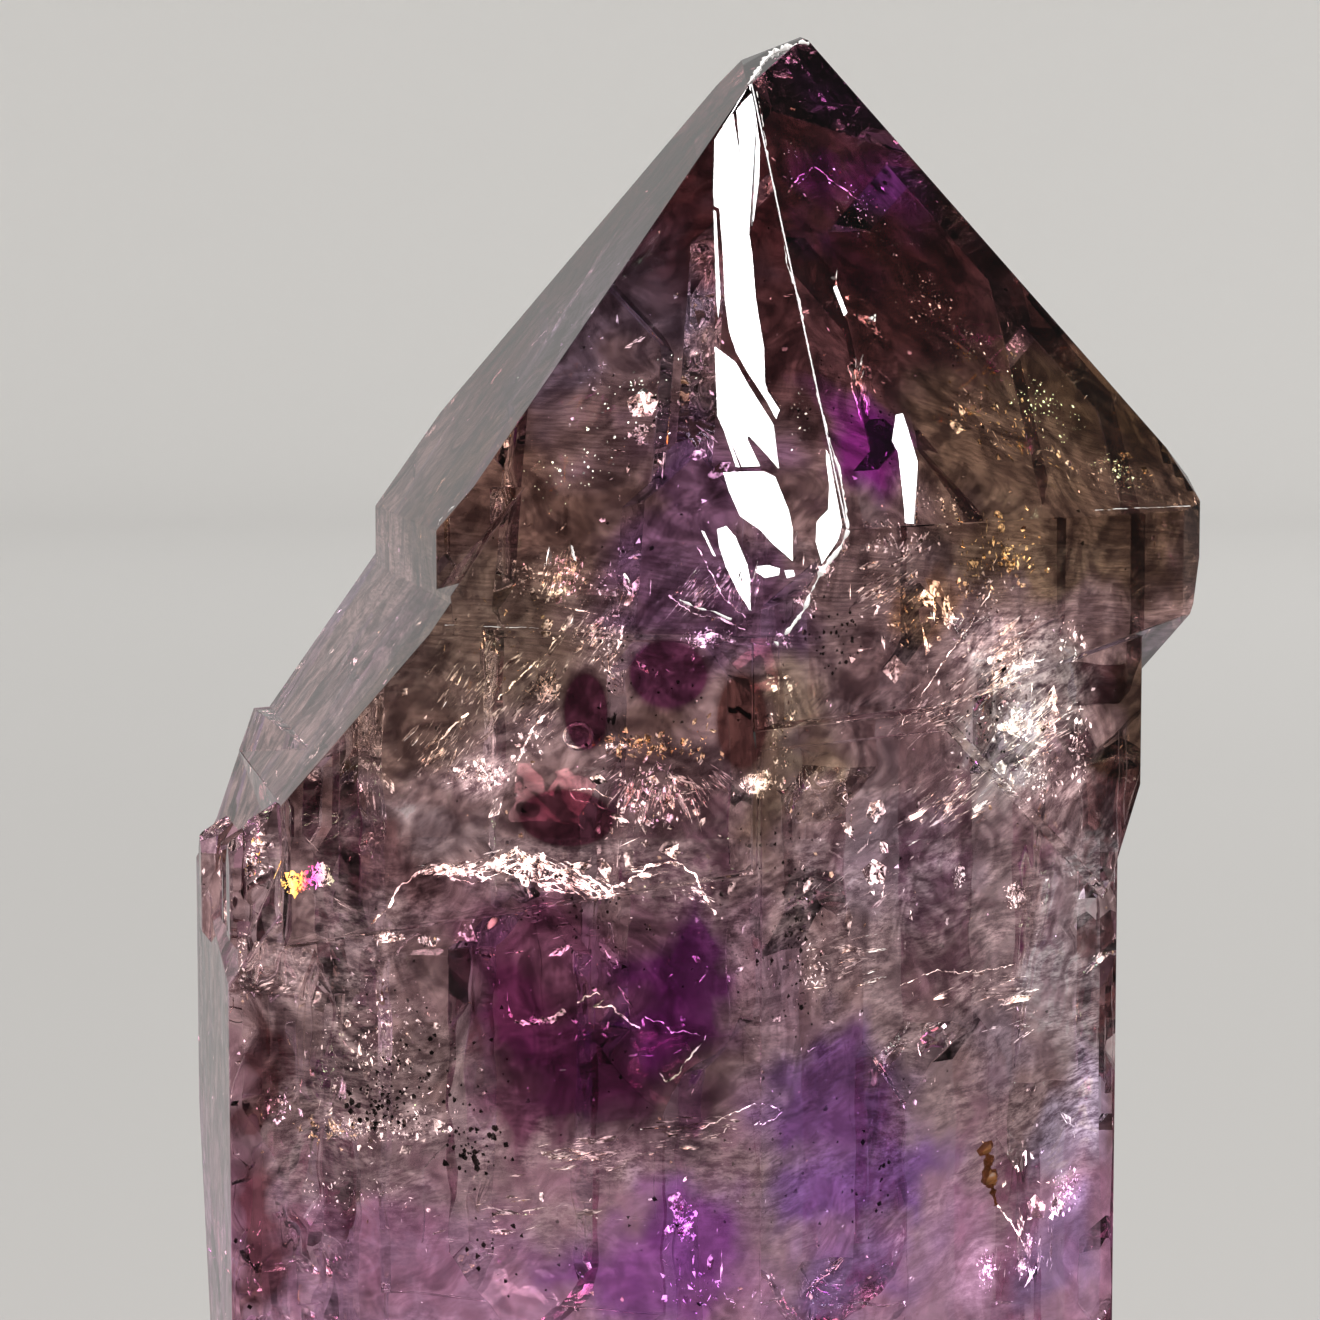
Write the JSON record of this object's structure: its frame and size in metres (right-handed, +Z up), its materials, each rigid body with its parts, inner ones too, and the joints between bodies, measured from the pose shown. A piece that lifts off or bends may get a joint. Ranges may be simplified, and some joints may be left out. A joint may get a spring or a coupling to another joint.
{
  "type": "elestial amethyst crystal",
  "caption": "Upright smoky amethyst point in elestial habit: broad six-sided tip overhanging a six-sided stem, stepped shoulder and crowded back, cut flat at the base.",
  "frame": {"origin": "middle of the crystal's box, on the cut face that it stands on", "axes": "+Z up the crystal towards its tip; -Y is the side that the picture shows, +X is to its right"},
  "size_m": [0.0414, 0.0338, 0.0652],
  "materials": {
    "amethyst": "glossy natural crystal faces, see-through smoky violet, deeper and browner in the tip"
  },
  "bodies": {
    "root": {"amethyst_crystal": "amethyst"}
  },
  "joints": []
}
